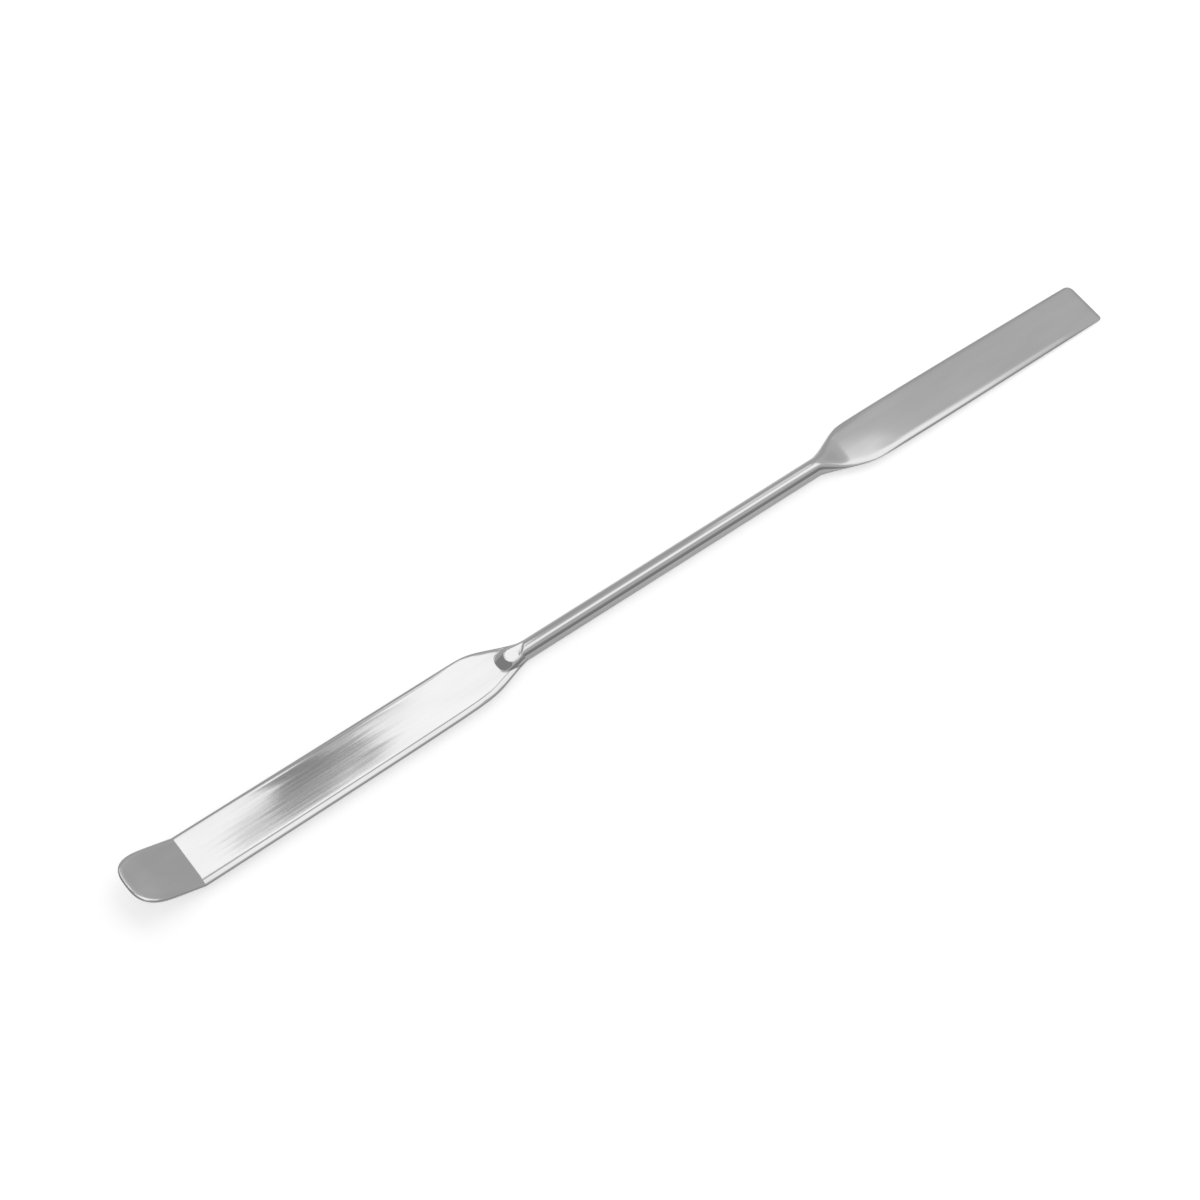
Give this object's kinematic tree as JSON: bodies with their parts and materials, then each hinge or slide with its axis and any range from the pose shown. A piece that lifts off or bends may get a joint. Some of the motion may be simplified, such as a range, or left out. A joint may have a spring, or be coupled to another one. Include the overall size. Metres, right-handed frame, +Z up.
{
  "type": "lab spatula",
  "caption": "Stainless steel lab spatula: a round rod forged into a long flat blade with a bent round tip at one end and a square-ended blade at the other.",
  "frame": {"origin": "on the bench, under the middle of the tool's overall length and width", "axes": "+X along the rod towards the square end, +Z up off the bench, +Y across the blades"},
  "size_m": [0.2, 0.0104, 0.0069],
  "materials": {
    "steel": "polished, with faint marks along the tool"
  },
  "bodies": {
    "root": {"spatula": "steel"}
  },
  "joints": []
}
